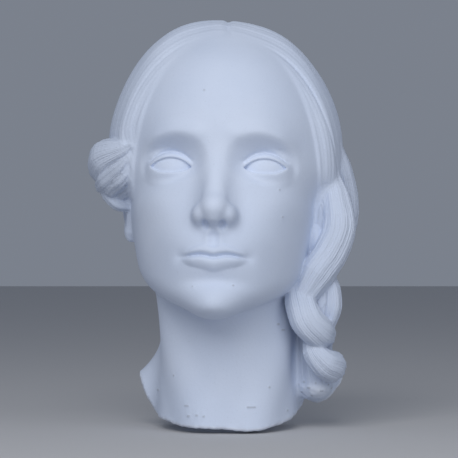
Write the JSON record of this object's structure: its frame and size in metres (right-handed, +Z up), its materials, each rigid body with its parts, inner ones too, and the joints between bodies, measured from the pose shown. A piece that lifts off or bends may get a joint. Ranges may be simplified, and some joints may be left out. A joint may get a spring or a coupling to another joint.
{
  "type": "face wall mask",
  "caption": "Hollow plaster wall mask of a woman's head and neck, with parted hair, a knot on one side and a plaited tail on the other.",
  "frame": {"origin": "middle of the flat rim at the crown, on the back plane that rests on the wall", "axes": "+Y into the wall, so the face looks to -Y; +Z up, along the longest side; +X to the viewer's right"},
  "size_m": [0.1949, 0.1399, 0.2924],
  "materials": {
    "plaster": "matte cast plaster, cool white"
  },
  "bodies": {
    "root": {"plaster_mask": "plaster"}
  },
  "joints": []
}
